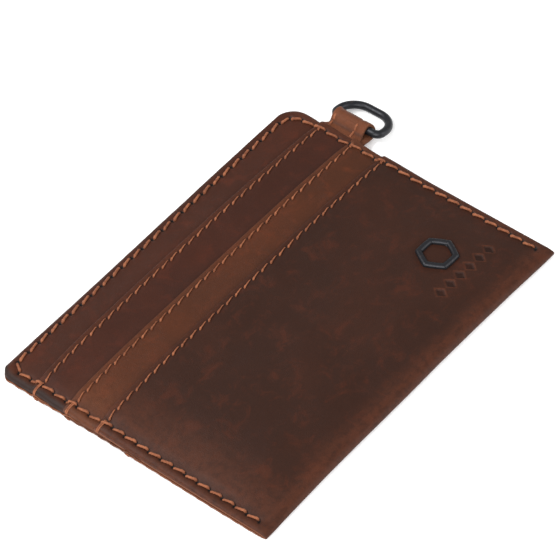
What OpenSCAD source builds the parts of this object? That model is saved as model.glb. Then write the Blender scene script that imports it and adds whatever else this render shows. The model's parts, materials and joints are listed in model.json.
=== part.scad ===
// Minimalist card wallet with six card slots, a central note pocket and a swivelling D-ring.
// The wallet lies on its back: X runs along the pocket mouths, Y runs from the fold to the
// open edge, and Z points out of the front face. The origin is the centre of the leather body
// on the plane that the wallet rests on.

/* [Body] */
// Width of the leather body, along the pocket mouths
body_w = 102; // [96:1:110]
// Height of the leather body, from the fold to the open edge
body_h = 78; // [76:1:84]
// Corner radius at the left end of the open edge
corner_left_r = 3.5; // [2.5:0.5:6]
// Corner radius at the right end of the open edge
corner_right_r = 5; // [2.5:0.5:6]
// Width of the pinched margin that the side seams run in
margin_w = 4.5; // [3.5:0.5:7]

/* [Layers] */
// Thickness of the leather
leather_t = 1.0; // [0.8:0.05:1.2]
// Thickness of the woven lining and pocket tails
fabric_t = 0.2; // [0.1:0.05:0.25]
// Free gap of the central pocket between the two leaves
centre_gap = 0.2; // [0.1:0.05:0.4]
// Length of leather hidden behind the panel in front of it
lap = 5; // [4:0.5:6]
// Length over which a strip climbs onto the strip behind it
ramp = 3.5; // [2.5:0.5:4]

/* [Front pockets] */
// Height above the fold of the front upper pocket's mouth
front_upper_mouth = 67.9; // [66:0.1:70]
// Height above the fold of the front middle pocket's mouth
front_middle_mouth = 58.1; // [56:0.1:60]
// Height above the fold of the front outer pocket's mouth
front_outer_mouth = 48.9; // [46:0.1:50]

/* [Back pockets] */
// Height above the fold of the back upper pocket's mouth
back_upper_mouth = 67.4; // [66:0.1:70]
// Height above the fold of the back middle pocket's mouth
back_middle_mouth = 57.8; // [56:0.1:60]
// Height above the fold of the back outer pocket's mouth
back_outer_mouth = 40; // [38:0.5:46]

/* [Pocket depths] */
// Height above the fold of the upper pocket's floor
upper_floor = 20.5; // [14:0.5:22]
// Height above the fold of the middle pocket's floor
middle_floor = 11.5; // [8:0.5:13]
// Height above the fold of the lining's lower edge
lining_floor = 3; // [3:0.5:6]

/* [Stitching] */
// Distance from the body's edge to the perimeter seam
seam_inset = 2.1; // [1.8:0.1:3]
// Distance from the fold to the last stitch of each side seam
seam_foot = 3.2; // [2.8:0.1:5]
// Stitch length of the perimeter seam
seam_pitch = 3.55; // [3:0.05:4]
// Stitch length of the pocket mouth seams
mouth_pitch = 3.12; // [2.6:0.02:3.6]
// Distance from a pocket's mouth to its seam
mouth_inset = 1.4; // [1.1:0.1:2]
// Thickness of the sewing thread
thread_d = 0.5; // [0.4:0.05:0.6]
// Slant of each stitch to the line of its seam
stitch_slant = 14; // [0:1:20]

/* [Ring and tab] */
// Height above the fold of the middle of the tab
tab_y = 61.3; // [58:0.1:63]
// Width of the tab along the wallet's side
tab_w = 10.8; // [8:0.2:11]
// Thickness of the tab's leather
tab_t = 0.8; // [0.6:0.05:0.85]
// Thickness of each skived tab end inside the side seam
skived_t = 0.5; // [0.4:0.05:0.6]
// Length of tab held between the two leaves
tab_hold = 6; // [5:0.5:8]
// Distance from the body's side to the ring's straight bar
bar_reach = 4.5; // [4.2:0.1:6]
// Wire radius of the D-ring
wire_r = 1.0; // [0.9:0.05:1.1]
// Length of the ring along its bar, between wire centres
ring_len = 13.6; // [13:0.2:18]
// Depth of the ring from bar to far side, between wire centres
ring_depth = 7.2; // [7:0.1:10]
// Centre-line radius of the ring's two outer corners
ring_corner_r = 5; // [3:0.5:5.4]
// Centre-line radius of the ring's two corners at the bar
bar_corner_r = 1.5; // [1.3:0.1:1.5]
// Radial clearance between the bar and the tab's loop
bar_clearance = 0.05; // [0.03:0.01:0.08]

/* [Badge and marks] */
// Centre of the badge from the body's left side
badge_x = 84; // [70:0.5:86]
// Centre of the badge above the fold
badge_y = 18.9; // [16:0.1:30]
// Distance across the badge's corners
badge_d = 10.4; // [8:0.2:12]
// Width of the badge's rim
badge_rim = 1.9; // [1.4:0.1:2.4]
// Height of the badge above the leather
badge_t = 0.9; // [0.6:0.1:1.2]
// Number of debossed marks in the row below the badge
mark_count = 6; // [3:1:6]
// Pitch of the debossed marks
mark_pitch = 3.5; // [3:0.1:3.6]
// Centre of the row of marks above the fold
mark_y = 11; // [8:0.5:12]
// Depth of the debossed marks
mark_depth = 0.3; // [0.1:0.05:0.5]

/* [Hidden] */
$fn = 48;

arc_steps = 10;
mark_r = 1.1;
prong_r = 0.5;
prong_gap = 0.05;
prong_spread = 0.85;
washer_t = 0.3;
slot_gap = 0.1;
slot_slack = 0.02;
through = 1;

// How far a stitch lies under the leather's face on the back, and how the passes meet the stitches.
sink = thread_d / 2 + 0.02;
pass_width = 0.8;
pass_overlap = 0.1;
edge_overlap = 0.05;
tab_seam_inset = 1.3;
tab_seam_gap = 0.3;
floor_seam_rise = 1;

// Heights in a leaf, measured outwards from the leaf's inner face.
upper_low = fabric_t;
upper_high = leather_t;
middle_low = 2 * fabric_t;
middle_high = fabric_t + leather_t;
outer_low = 3 * fabric_t;
outer_high = 2 * fabric_t + leather_t;
leaf_t = outer_high + leather_t;
half_t = leaf_t + centre_gap / 2;
half_margin_t = outer_low + leather_t + centre_gap / 2;

// The three mouths of each leaf, from the open edge down to the fold.
front = [front_upper_mouth, front_middle_mouth, front_outer_mouth];
back = [back_upper_mouth, back_middle_mouth, back_outer_mouth];

// Ring geometry: the ring rests on the same plane as the wallet.
bar_x = body_w + bar_reach;
bore_r = wire_r + bar_clearance;
loop_r = bore_r + tab_t;
ring_rest = asin((half_t - wire_r) / ring_depth);

leather_brown = [0.30, 0.18, 0.14];
leather_dark = [0.24, 0.15, 0.12];
leather_tan = [0.42, 0.25, 0.16];
fabric_brown = [0.33, 0.24, 0.20];
thread_orange = [0.75, 0.45, 0.30];
metal_black = [0.12, 0.12, 0.13];

// --- Places and profiles ---------------------------------------------------------------

// Moves from the body's lower left corner on the mid-plane to the model's origin.
module placed() translate([-body_w / 2, -body_h / 2, half_t]) children();

// Turns a shape drawn on the front leaf over to the back leaf.
module turned(is_back) if (is_back) mirror([0, 0, 1]) children(); else children();

// Extrudes a profile drawn in Y and Z along X, from x0 over a length.
module along_x(x0, length) translate([x0, 0, 0]) rotate([90, 0, 90]) linear_extrude(length) children();

function between(y, y0, y1, a, b) = a + (b - a) * min(1, max(0, (y - y0) / (y1 - y0)));

// Outer height of a strip that climbs from low to high just below the strip behind it.
function strip_top(y, behind, low, high) = leather_t + between(y, behind - ramp, behind, low, high);

// Outer height of a leaf in its side margin, at distance y above the fold.
function margin_top(y, m) =
    y > m[0] ? leather_t
    : y > m[1] ? strip_top(y, m[0] - lap, upper_low, upper_high)
    : y > m[2] ? strip_top(y, m[1] - lap, middle_low, middle_high)
    : strip_top(y, m[2] - lap, outer_low, outer_high);

// Slope of that outer face, taken as level at the step of a pocket's mouth.
function margin_slope(y, m) =
    let (rise = margin_top(y + 0.5, m) - margin_top(y - 0.5, m)) abs(rise) > leather_t / 2 ? 0 : atan(rise);

function arc(cx, cy, r, a0, a1) =
    [for (i = [0 : arc_steps]) let (a = a0 + (a1 - a0) * i / arc_steps) [cx + r * cos(a), cy + r * sin(a)]];

module body_outline() {
    polygon(concat(
        [[0, 0], [body_w, 0]],
        arc(body_w - corner_right_r, body_h - corner_right_r, corner_right_r, 0, 90),
        arc(corner_left_r, body_h - corner_left_r, corner_left_r, 90, 180)));
}

// One leather strip: flat, climbing, and flat again up to its mouth.
module strip(foot, behind, mouth, low, high) {
    inner = centre_gap / 2;
    along_x(0, body_w)
        translate([0, inner])
            polygon([
                [foot, low], [behind - ramp, low], [behind, high], [mouth, high],
                [mouth, high + leather_t], [behind, high + leather_t],
                [behind - ramp, low + leather_t], [foot, low + leather_t]]);
}

module sheet(y0, y1, low, thick) {
    translate([0, y0, centre_gap / 2 + low]) cube([body_w, y1 - y0, thick]);
}

// Room for the skived tab ends between the two leaves.
module tab_slot() {
    h = skived_t + slot_slack;
    translate([body_w - tab_hold - slot_gap, tab_y - tab_w / 2 - slot_gap, -h])
        cube([tab_hold + through, tab_w + 2 * slot_gap, 2 * h]);
}

// --- Leather -----------------------------------------------------------------------------

// Half of the wrap's outline on one leaf, at a distance inside its outer face.
function wrap_line(mouth, behind, low, high, inside) = [
    [low, low - inside], [behind - ramp, low - inside], [behind, high - inside], [mouth, high - inside]];

function turned_line(line) = [for (p = line) [p[0], -p[1]]];
function backwards(line) = [for (i = [len(line) - 1 : -1 : 0]) line[i]];

// Section of the wrap: front leaf, round fold and back leaf, with the given half thickness.
module wrap_section(low) {
    f = front_outer_mouth;
    b = back_outer_mouth;
    polygon(concat(
        backwards(turned_line(wrap_line(b, b - lap, low, half_t, 0))),
        arc(low, 0, low, 270, 90),
        wrap_line(f, f - lap, low, half_t, 0),
        backwards(wrap_line(f, f - lap, low, half_t, leather_t)),
        arc(low, 0, low - leather_t, 90, 270),
        turned_line(wrap_line(b, b - lap, low, half_t, leather_t))));
}

module marks() {
    row = (mark_count - 1) * mark_pitch;
    for (i = [0 : mark_count - 1])
        translate([badge_x - row / 2 + i * mark_pitch, mark_y, half_t - mark_depth])
            cylinder(h = mark_depth + through, r = mark_r, $fn = 4);
}

module badge_prongs(r, low, high) {
    for (side = [-1, 1])
        translate([badge_x + side * (badge_d - badge_rim) / 2 * prong_spread, badge_y, low])
            cylinder(h = high - low, r = r);
}

module outer_wrap() color(leather_dark) placed() {
    difference() {
        union() {
            along_x(margin_w, body_w - 2 * margin_w) wrap_section(half_t);
            for (x0 = [0, body_w - margin_w]) along_x(x0, margin_w) wrap_section(half_margin_t);
        }
        marks();
        badge_prongs(prong_r + prong_gap, half_t - leather_t - through, half_t + through);
    }
}

module base_panel(is_back, mouth) {
    foot = mouth - lap;
    difference() {
        turned(is_back)
            intersection() {
                sheet(foot, body_h, 0, leather_t);
                linear_extrude(leaf_t) body_outline();
            }
        tab_slot();
    }
}

module upper_pocket(is_back, m) {
    difference() {
        turned(is_back) strip(m[1] - lap, m[0] - lap, m[0], upper_low, upper_high);
        tab_slot();
    }
}

module middle_pocket(is_back, m) {
    turned(is_back) strip(m[2] - lap, m[1] - lap, m[1], middle_low, middle_high);
}

module front_base_panel() color(leather_brown) placed() base_panel(false, front[0]);
module back_base_panel() color(leather_brown) placed() base_panel(true, back[0]);
module front_upper_pocket() color(leather_brown) placed() upper_pocket(false, front);
module back_upper_pocket() color(leather_brown) placed() upper_pocket(true, back);
module front_middle_pocket() color(leather_tan) placed() middle_pocket(false, front);
module back_middle_pocket() color(leather_tan) placed() middle_pocket(true, back);

// --- Lining and pocket tails ---------------------------------------------------------------

module lining(is_back, m) {
    difference() {
        turned(is_back) sheet(lining_floor, m[0] - lap, 0, fabric_t);
        tab_slot();
    }
}

module front_lining() color(fabric_brown) placed() lining(false, front);
module back_lining() color(fabric_brown) placed() lining(true, back);
module front_upper_tail() color(fabric_brown) placed() sheet(upper_floor, front[1] - lap, fabric_t, fabric_t);
module back_upper_tail() color(fabric_brown) placed()
    turned(true) sheet(upper_floor, back[1] - lap, fabric_t, fabric_t);
module front_middle_tail() color(fabric_brown) placed() sheet(middle_floor, front[2] - lap, 2 * fabric_t, fabric_t);
module back_middle_tail() color(fabric_brown) placed()
    turned(true) sheet(middle_floor, back[2] - lap, 2 * fabric_t, fabric_t);

// --- Ring and tab ---------------------------------------------------------------------------

// One strip folded round the ring's bar, both ends skived and held in the side seam.
module ring_tab() color(leather_tan) placed()
    translate([0, tab_y + tab_w / 2, 0]) rotate([90, 0, 0]) linear_extrude(tab_w)
        difference() {
            union() {
                polygon([
                    [body_w - tab_hold, -skived_t], [body_w, -skived_t],
                    [body_w + 1, -tab_t], [bar_x - loop_r / 2, -tab_t],
                    [bar_x - loop_r / 2, tab_t], [body_w + 1, tab_t],
                    [body_w, skived_t], [body_w - tab_hold, skived_t]]);
                translate([bar_x, 0]) circle(r = loop_r);
            }
            translate([bar_x, 0]) circle(r = bore_r);
        }

module wire_arc(cx, cy, r, a0) {
    translate([cx, cy, 0]) rotate([0, 0, a0]) rotate_extrude(angle = 90) translate([r, 0]) circle(r = wire_r);
}

module wire_bar(from, to) {
    d = to - from;
    translate([from[0], from[1], 0]) rotate([0, 0, atan2(d[1], d[0])])
        rotate([0, 90, 0]) cylinder(h = norm(d), r = wire_r);
}

// The closed D of round wire, its straight bar along Y and its far side resting low.
module d_ring() color(metal_black) placed() {
    half = ring_len / 2;
    far = ring_depth;
    c = ring_corner_r;
    n = bar_corner_r;
    translate([bar_x, tab_y, 0]) rotate([0, ring_rest, 0]) union() {
        wire_bar([0, n - half], [0, half - n]);
        wire_bar([n, half], [far - c, half]);
        wire_bar([far, half - c], [far, c - half]);
        wire_bar([far - c, -half], [n, -half]);
        wire_arc(n, half - n, n, 90);
        wire_arc(far - c, half - c, c, 0);
        wire_arc(far - c, c - half, c, 270);
        wire_arc(n, n - half, n, 180);
    }
}

// --- Badge ----------------------------------------------------------------------------------

module badge() color(metal_black) placed() union() {
    translate([badge_x, badge_y, half_t])
        difference() {
            cylinder(h = badge_t, r = badge_d / 2, $fn = 6);
            translate([0, 0, -through])
                cylinder(h = badge_t + 2 * through, r = badge_d / 2 - badge_rim, $fn = 6);
        }
    badge_prongs(prong_r, half_t - leather_t - washer_t, half_t + badge_t / 2);
}

module badge_washer() color("gray") placed()
    difference() {
        translate([badge_x, badge_y, half_t - leather_t - washer_t])
            cylinder(h = washer_t, r = badge_d / 2, $fn = 6);
        badge_prongs(prong_r + prong_gap, half_t - leather_t - through, half_t);
    }

// --- Stitching -------------------------------------------------------------------------------

// One stitch on the outside of a leaf, lying along Y, half sunk into the leather.
module stitch(length, slant, slope) {
    rotate([slope, 0, 0]) rotate([0, 0, slant])
        translate([-thread_d / 2, -length / 2, -thread_d / 2]) cube([thread_d, length, thread_d]);
}

// One pass of the thread through the leather, between two heights.
module pass(low, high) {
    w = thread_d * pass_width;
    translate([-w / 2, -w / 2, low]) cube([w, w, high - low]);
}

side_run = body_h - seam_inset - seam_foot;
side_count = ceil(side_run / seam_pitch);
side_pitch = side_run / side_count;
top_run = body_w - 2 * seam_inset;
top_count = floor(top_run / seam_pitch);
top_pitch = top_run / top_count;

// A side seam: stitches on the front and the back, joined through both leaves.
module side_seam(x) {
    inner = centre_gap / 2;
    y_top = body_h - seam_inset;
    for (i = [0 : side_count - 1]) {
        y = y_top - (i + 0.5) * side_pitch;
        translate([x, y, inner + margin_top(y, front)])
            stitch(side_pitch, stitch_slant, margin_slope(y, front));
        translate([x, y, -inner - margin_top(y, back) + sink])
            stitch(side_pitch, -stitch_slant, -margin_slope(y, back));
    }
    for (i = [0 : side_count]) {
        y = y_top - i * side_pitch;
        translate([x, y, pass_overlap]) pass(-inner - margin_top(y, back), inner + margin_top(y, front));
    }
}

module top_seam() {
    inner = centre_gap / 2;
    for (i = [0 : top_count - 1])
        translate([seam_inset + (i + 0.5) * top_pitch, body_h - seam_inset, 0]) {
            translate([0, 0, inner + leather_t]) rotate([0, 0, 90]) stitch(top_pitch, stitch_slant, 0);
            translate([0, 0, -inner - leather_t + sink]) rotate([0, 0, 90]) stitch(top_pitch, -stitch_slant, 0);
            if (i > 0) translate([-top_pitch / 2, 0, pass_overlap]) pass(-inner - leather_t, inner + leather_t);
        }
}

module perimeter_thread() color(thread_orange) placed() union() {
    side_seam(seam_inset);
    side_seam(body_w - seam_inset);
    top_seam();
}

mouth_run = body_w - 2 * seam_inset;
mouth_count = floor(mouth_run / mouth_pitch);
mouth_step = mouth_run / mouth_count;

// The seam along one pocket mouth, with a wrap over the leather's edge at each end.
module mouth_seam(y, low) {
    z0 = centre_gap / 2 + low;
    z1 = z0 + leather_t;
    for (i = [0 : mouth_count - 1])
        translate([seam_inset + (i + 0.5) * mouth_step, y, 0]) {
            translate([0, 0, z1]) rotate([0, 0, 90]) stitch(mouth_step, stitch_slant, 0);
            translate([0, 0, z0 + sink]) rotate([0, 0, 90]) stitch(mouth_step, -stitch_slant, 0);
        }
    for (i = [0 : mouth_count])
        translate([seam_inset + i * mouth_step, y, pass_overlap]) pass(z0, z1);
    for (side = [0, 1]) {
        edge = side * body_w;
        inward = side == 0 ? seam_inset : -seam_inset;
        translate([edge + inward / 2, y, z1]) rotate([0, 0, 90]) stitch(abs(inward) + thread_d, 0, 0);
        translate([edge, y, 0]) pass(z0 - low + edge_overlap, z1 + pass_overlap);
    }
}

module front_upper_thread() color(thread_orange) placed()
    mouth_seam(front[0] - mouth_inset, upper_high);
module front_middle_thread() color(thread_orange) placed()
    mouth_seam(front[1] - mouth_inset, middle_high);
module front_outer_thread() color(thread_orange) placed()
    mouth_seam(front[2] - mouth_inset, outer_high);

// On the back the stitches are sunk level with the leather, which rests on them.
module back_mouth_seam(y, low) {
    turned(true) translate([0, 0, -sink]) mouth_seam(y, low);
}

module back_upper_thread() color(thread_orange) placed()
    back_mouth_seam(back[0] - mouth_inset, upper_high);
module back_middle_thread() color(thread_orange) placed()
    back_mouth_seam(back[1] - mouth_inset, middle_high);
module back_outer_thread() color(thread_orange) placed()
    back_mouth_seam(back[2] - mouth_inset, outer_high);

// Two short seams that hold the tab's plies together, one near each edge of the tab.
module tab_thread() color(thread_orange) placed() {
    length = bar_reach - loop_r;
    for (side = [-1, 1])
        translate([body_w + length / 2 + tab_seam_gap, tab_y + side * (tab_w / 2 - tab_seam_inset), 0]) {
            for (face = [-1, 1])
                translate([0, 0, face * tab_t]) rotate([0, 0, 90]) stitch(length, 0, 0);
            for (end = [-1, 1])
                translate([end * (length - thread_d) / 2, 0, 0]) pass(-tab_t, tab_t);
        }
}

// The seams along the floors of the two inner pockets of a leaf.
module floor_seams() {
    for (floor_y = [[upper_floor, 1], [middle_floor, 2]]) {
        z = centre_gap / 2 + floor_y[1] * fabric_t;
        translate([seam_inset, floor_y[0] + floor_seam_rise, z])
            cube([body_w - 2 * seam_inset, thread_d, fabric_t + pass_overlap]);
    }
}

module front_floor_thread() color(thread_orange) placed() floor_seams();
module back_floor_thread() color(thread_orange) placed() turned(true) floor_seams();

outer_wrap();
front_base_panel();
front_upper_pocket();
front_middle_pocket();
front_lining();
front_upper_tail();
front_middle_tail();
back_base_panel();
back_upper_pocket();
back_middle_pocket();
back_lining();
back_upper_tail();
back_middle_tail();
ring_tab();
d_ring();
badge();
badge_washer();
perimeter_thread();
front_upper_thread();
front_middle_thread();
front_outer_thread();
back_upper_thread();
back_middle_thread();
back_outer_thread();
tab_thread();
front_floor_thread();
back_floor_thread();
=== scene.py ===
import json
import math

import bmesh
import bpy
import numpy as np
from mathutils import Matrix, Vector

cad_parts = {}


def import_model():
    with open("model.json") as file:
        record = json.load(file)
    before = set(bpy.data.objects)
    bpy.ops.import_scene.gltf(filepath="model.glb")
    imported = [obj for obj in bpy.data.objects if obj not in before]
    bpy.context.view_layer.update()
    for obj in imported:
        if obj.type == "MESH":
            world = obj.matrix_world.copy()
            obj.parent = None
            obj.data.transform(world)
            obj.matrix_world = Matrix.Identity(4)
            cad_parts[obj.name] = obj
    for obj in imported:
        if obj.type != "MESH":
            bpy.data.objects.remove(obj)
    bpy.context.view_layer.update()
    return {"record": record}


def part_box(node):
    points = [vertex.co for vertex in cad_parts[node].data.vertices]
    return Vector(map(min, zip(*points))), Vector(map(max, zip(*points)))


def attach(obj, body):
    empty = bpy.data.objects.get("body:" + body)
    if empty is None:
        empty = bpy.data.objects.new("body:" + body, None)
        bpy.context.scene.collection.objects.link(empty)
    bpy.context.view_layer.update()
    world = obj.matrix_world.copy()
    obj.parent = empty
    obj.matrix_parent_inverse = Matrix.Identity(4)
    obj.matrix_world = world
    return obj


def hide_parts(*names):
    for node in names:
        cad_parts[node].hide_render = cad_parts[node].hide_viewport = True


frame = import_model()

MM = 0.001

# ---- sizes, from the frame, in mm


def box_mm(node):
    low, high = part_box(node)
    return np.array(low) / MM, np.array(high) / MM


WRAP_LOW, WRAP_HIGH = box_mm("outer_wrap")
LEFT, FOLD = WRAP_LOW[0], WRAP_LOW[1]
W = WRAP_HIGH[0] - LEFT


def from_fold(side, *nodes):
    """How far from the fold the lower side (0) or the upper side (1) of each node is."""
    return [box_mm(n)[side][1] - FOLD for n in nodes]


H = from_fold(1, "front_base_panel")[0]
MOUTH_INSET = WRAP_HIGH[1] - np.mean([b[1] for b in box_mm("front_outer_thread")])
FRONT_MOUTHS = from_fold(1, "front_upper_pocket", "front_middle_pocket", "outer_wrap")
BACK_MOUTHS = from_fold(1, "back_upper_pocket", "back_middle_pocket")
BACK_MOUTHS.append(np.mean([b[1] for b in box_mm("back_outer_thread")]) + MOUTH_INSET - FOLD)
FRONT_FEET = from_fold(0, "front_base_panel", "front_upper_pocket", "front_middle_pocket")
BACK_FEET = from_fold(0, "back_base_panel", "back_upper_pocket", "back_middle_pocket")
SEAM_INSET = 2.1
SEAM_FOOT = 3.2
SEAM_PITCH = 3.55
MOUTH_PITCH = 3.12
CORNER_LEFT, CORNER_RIGHT = 3.5, 5.0
HINGE = frame["record"]["behaviour"]["joints"][0]
BAR = np.array(HINGE["pos_m"]) / MM
TAB_LOW, TAB_HIGH = box_mm("ring_tab")
RING_LOW, RING_HIGH = box_mm("d_ring")
BADGE_LOW, BADGE_HIGH = box_mm("badge")

LEATHER = 1.0
LEATHER_PINCHED = 0.74
FABRIC = 0.16
GAP = 0.03


# ---- small maths


def smooth(x):
    x = np.clip(x, 0.0, 1.0)
    return x * x * (3 - 2 * x)


def mix(a, b, t):
    return a + (b - a) * t


def soft_noise(u, v, cell, seed):
    """Smooth noise of about -1 to 1 over the wallet's face, with bumps about one cell wide."""
    lattice = np.random.RandomState(seed).uniform(-1, 1, (96, 96))
    x, y = np.asarray(u) / cell + 11.3, np.asarray(v) / cell + 7.1
    i, j = np.floor(x).astype(int), np.floor(y).astype(int)
    fx, fy = smooth(x - i), smooth(y - j)
    a, b = lattice[i % 96, j % 96], lattice[(i + 1) % 96, j % 96]
    c, d = lattice[i % 96, (j + 1) % 96], lattice[(i + 1) % 96, (j + 1) % 96]
    return mix(mix(a, b, fx), mix(c, d, fx), fy)


# ---- the wallet's form
# Points are (u, v, z): u from the left side, v from the fold, z above the resting plane.

SPREAD_LEFT = 0.2
BACK_STANDS_OUT = 0.18
BACK_PUCKER = 0.10
BULGE = 2.4
NOSE = 2.2
FOLD_OUT = 0.38
NOSE_EARS = 0.42
CLIMB = 8.2
UPPER_BOW = 0.45


def leather_t(u):
    """Thickness of the leather, pinched thinner in the side margins."""
    edge = 1 - smooth((np.minimum(u, W - u) - SEAM_INSET) / 4.0)
    return mix(LEATHER, LEATHER_PINCHED, edge)


def ease_up(x):
    """0 to 1, quick at first and level at the end, with a soft start."""
    x = np.clip(x, 0.0, 1.0)
    return (1 - (1 - x) ** 2.6) * smooth(x / 0.10)


def across(u):
    """How far the front stands up between the side seams: steep at the left, gentle at the right."""
    return ease_up((u - SEAM_INSET - 0.1) / 24.0) * ease_up((W - SEAM_INSET - 0.1 - u) / 42.0)


def along(v):
    """How much of the bulge is there between the fold and the open edge."""
    low = mix(0.42, 1.0, smooth(v / 14))
    return low * mix(1.0, 0.47, smooth((v - 20) / 40)) * mix(1.0, 0.07, smooth((v - 68) / 8.5))


def margin_height(v):
    """Outer face of the pinched front margin, before any pocket climbs on it."""
    return 1.98 + 1.08 * smooth((v - 2) / 36)


def front_base(u, v):
    wave = 0.10 * soft_noise(u, v, 17, 3) + 0.05 * soft_noise(u, v, 6.5, 4)
    return margin_height(v) + BULGE * across(u) * along(v) + wave * across(u)


def climb(below, length=CLIMB):
    """1 at a pocket's mouth, falling to 0 at a length below it."""
    return 1 - smooth(below / length)


def front_mouth(k, u):
    """Where the mouth of front layer k + 1 is; the upper one bows a little towards the open edge."""
    return FRONT_MOUTHS[k] + (UPPER_BOW * np.sin(math.pi * np.clip(u / W, 0, 1)) if k == 0 else 0)


def front_height(k, u, v):
    """Outer face of front layer k: 0 base panel, 1 upper strip, 2 middle strip, 3 wrap."""
    t = leather_t(u)
    own = front_base(u, v)
    if k > 0:
        mouth = front_mouth(k - 1, u)
        lift = 1.0 + 0.10 * across(u) * climb(mouth - v, 2.0)
        own = own + t * climb(mouth - v, CLIMB if k < 3 else 15.0) * lift
    if k == 3:
        return own
    mouth = front_mouth(k, u)
    hidden = front_height(k + 1, u, np.minimum(v, mouth)) - t - GAP
    return np.where(v >= mouth, own, np.minimum(own, hidden))


def back_margin(v):
    return 0.10 + 0.36 * smooth((v - 12) / 24) + 0.10 * smooth((v - 62) / 14)


def lying_flat(u, v):
    """1 where the back rests on the table, falling to 0 in the lifted side margins."""
    return smooth((np.minimum(u, W - u) - SEAM_INSET) / 8.0) * smooth((v - 0.5) / 5.0)


def back_base(u, v):
    lying = lying_flat(u, v)
    wave = 0.05 * (1 + soft_noise(u, v, 14, 8)) * lying
    return back_margin(v) * (1 - lying) + wave


def back_height(k, u, v):
    """Outer face of back layer k, as front_height; smaller is further out."""
    t = leather_t(u)
    own = back_base(u, v)
    if k < 3:
        step = 1.0 if k == 0 else 1 - climb(BACK_MOUTHS[k - 1] - v)
        pinched = mix(0.40, 1.0, lying_flat(u, v))
        droop = 1 - 0.55 * smooth((v - BACK_MOUTHS[0] - 2) / 9)
        own = own + t * step * droop * pinched
        hidden = back_height(k + 1, u, np.minimum(v, BACK_MOUTHS[k])) + t + GAP
        own = np.where(v >= BACK_MOUTHS[k], own, np.maximum(own, hidden))
    return own


# ---- seams


def straight_row(u0, v0, u1, v1, pitch):
    count = max(1, round(math.hypot(u1 - u0, v1 - v0) / pitch))
    return [(mix(u0, u1, i / count), mix(v0, v1, i / count)) for i in range(count + 1)]


def corner_row(cu, cv, r, a0, a1):
    count = max(1, round(r * math.radians(abs(a1 - a0)) / SEAM_PITCH))
    angles = [math.radians(mix(a0, a1, i / count)) for i in range(count + 1)]
    return [(cu + r * math.cos(a), cv + r * math.sin(a)) for a in angles]


def perimeter_row():
    s, rl, rr = SEAM_INSET, CORNER_LEFT - 1.2, CORNER_RIGHT - 1.2
    row = straight_row(s, SEAM_FOOT, s, H - s - rl, SEAM_PITCH)
    row += corner_row(s + rl, H - s - rl, rl, 180, 90)[1:]
    row += straight_row(s + rl, H - s, W - s - rr, H - s, SEAM_PITCH)[1:]
    row += corner_row(W - s - rr, H - s - rr, rr, 90, 0)[1:]
    row += straight_row(W - s, H - s - rr, W - s, SEAM_FOOT, SEAM_PITCH)[1:]
    return row


def mouth_row(mouth, bow=0.0):
    v = mouth - MOUTH_INSET
    row = straight_row(SEAM_INSET + 0.9, v, W - SEAM_INSET - 0.9, v, MOUTH_PITCH)
    return [(u, v + bow * math.sin(math.pi * u / W)) for u, v in row]


SEAM_REACH = 2.2
PERIMETER = perimeter_row()
FRONT_ROWS = [mouth_row(m, UPPER_BOW if i == 0 else 0.0) for i, m in enumerate(FRONT_MOUTHS)]
BACK_ROWS = [mouth_row(m) for m in BACK_MOUTHS]


def seam_relief(u, v, row, depth, hole, hole_shade):
    """How far one row of stitches pulls the leather in, and the painted shade in its needle holes, on a grid.
    """
    pull, shaded_pit = np.zeros_like(u), np.zeros_like(u)
    for (u0, v0), (u1, v1) in zip(row, row[1:]):
        near = (u > min(u0, u1) - SEAM_REACH) & (u < max(u0, u1) + SEAM_REACH)
        near &= (v > min(v0, v1) - SEAM_REACH) & (v < max(v0, v1) + SEAM_REACH)
        if not near.any():
            continue
        du, dv = u1 - u0, v1 - v0
        length = math.hypot(du, dv)
        x, y = u[near] - u0, v[near] - v0
        along_it = (x * du + y * dv) / length
        off = (y * du - x * dv) / length
        inside = smooth((along_it + 0.5) / 0.5) * smooth((length + 0.5 - along_it) / 0.5)
        pull[near] = np.maximum(pull[near], depth * np.exp(-((off / 0.75) ** 2)) * inside)
        for end in (0.0, length):
            slit = (along_it - end) + 0.45 * off
            reach = (slit / 0.40) ** 2 + (off / 0.62) ** 2
            # painted shade: a mask for the needle holes, later drawn near-black in the leather colour
            shaded_pit[near] = np.maximum(shaded_pit[near], hole_shade * np.exp(-reach))
            pull[near] = np.maximum(pull[near], hole * np.exp(-((along_it - end) ** 2 + off**2) / 0.55))
    return pull, shaded_pit


# ---- meshes


def world(u, v, z):
    return np.stack([(u + LEFT) * MM, (v + FOLD) * MM, z * MM], axis=-1)


def new_object(name, points, faces, material, attributes=None):
    mesh = bpy.data.meshes.new(name)
    mesh.from_pydata(points, [], faces)
    for key, values in (attributes or {}).items():
        attribute = mesh.attributes.new(key, "FLOAT", "POINT")
        attribute.data.foreach_set("value", np.asarray(values, dtype=np.float32))
    work = bmesh.new()
    work.from_mesh(mesh)
    bmesh.ops.recalc_face_normals(work, faces=work.faces)
    work.to_mesh(mesh)
    work.free()
    mesh.polygons.foreach_set("use_smooth", [True] * len(mesh.polygons))
    mesh.materials.append(material)
    piece = bpy.data.objects.new(name, mesh)
    bpy.context.scene.collection.objects.link(piece)
    return piece


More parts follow.
